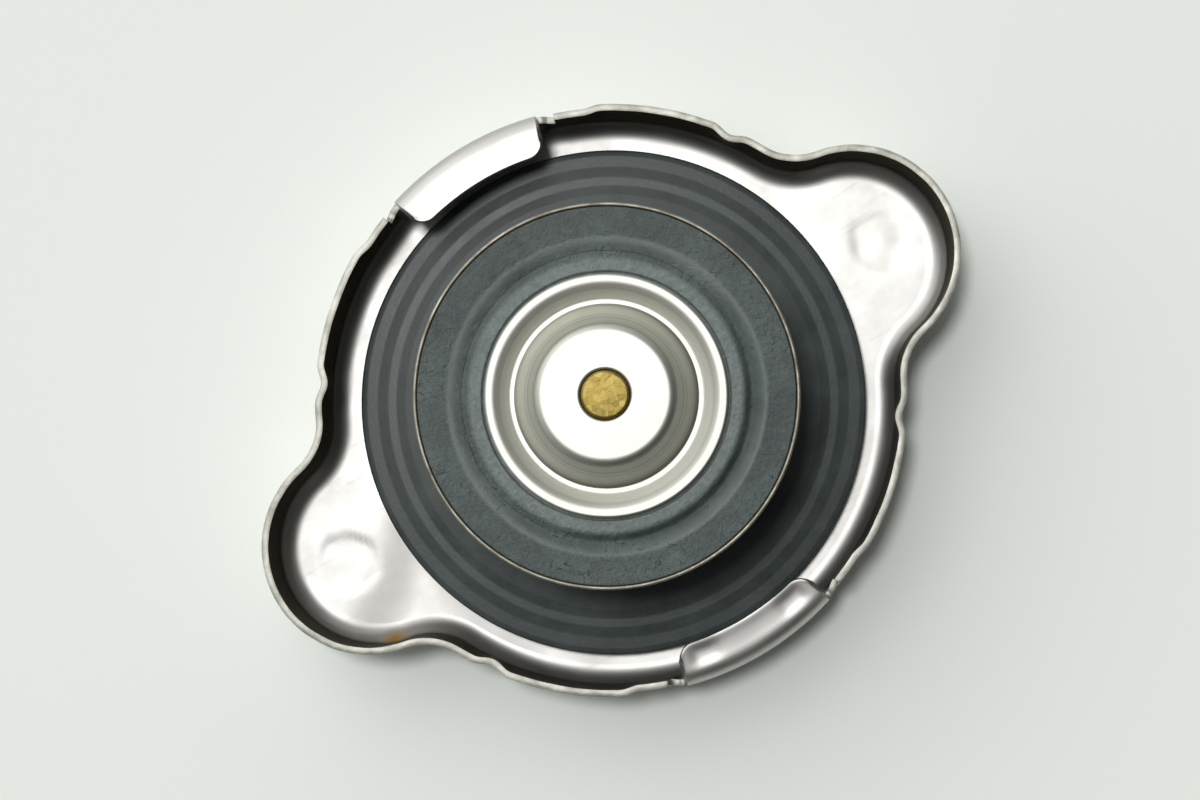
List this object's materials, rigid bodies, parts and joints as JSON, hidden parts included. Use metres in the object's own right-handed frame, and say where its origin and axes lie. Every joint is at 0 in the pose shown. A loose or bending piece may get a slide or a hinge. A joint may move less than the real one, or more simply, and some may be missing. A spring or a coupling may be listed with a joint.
{
  "type": "radiator cap",
  "caption": "Pressed-steel radiator cap with finger ears and bayonet lugs, upper rubber gasket, sprung pressure valve in a drawn cage, and a domed vacuum valve on a brass stem.",
  "frame": {"origin": "middle of the cap's top panel, which lies on the ground; the valve side is up", "axes": "+X along the ears, +Y along the bayonet lugs, +Z from the top panel towards the valve"},
  "size_m": [0.0584, 0.0444, 0.0222],
  "materials": {
    "shell_steel": "bright plated",
    "stainless": "bright",
    "spring_steel": "drawn wire",
    "gasket_rubber": "matt",
    "seal_rubber": "matt, worn",
    "carrier_brass": "plated",
    "stem_brass": "bare"
  },
  "bodies": {
    "shell": {"cap_shell": "shell_steel"},
    "valve_unit": {"centre_rivet": "shell_steel", "leaf_spring": "stainless", "upper_gasket": "gasket_rubber", "valve_cage": "stainless", "main_spring": "spring_steel"},
    "pressure_valve": {"valve_guide": "stainless", "seal_carrier": "carrier_brass", "pressure_seal": "seal_rubber", "vacuum_spring": "spring_steel"},
    "vacuum_valve": {"vacuum_plate": "stainless", "vacuum_stem": "stem_brass", "spring_retainer": "stem_brass"}
  },
  "joints": [
    {"name": "valve_unit_turn", "type": "hinge", "parent": "shell", "child": "valve_unit", "pos_m": [0, 0, 0], "axis": [0, 0, 1], "continuous": true},
    {"name": "pressure_valve_slide", "type": "slide", "parent": "valve_unit", "child": "pressure_valve", "axis": [0, 0, -1], "range_m": [0, 0.003], "stiffness_N_per_m": 4000, "deforming": ["main_spring"]},
    {"name": "vacuum_valve_slide", "type": "slide", "parent": "pressure_valve", "child": "vacuum_valve", "axis": [0, 0, 1], "range_m": [0, 0.0016], "stiffness_N_per_m": 300, "deforming": ["vacuum_spring"]}
  ]
}
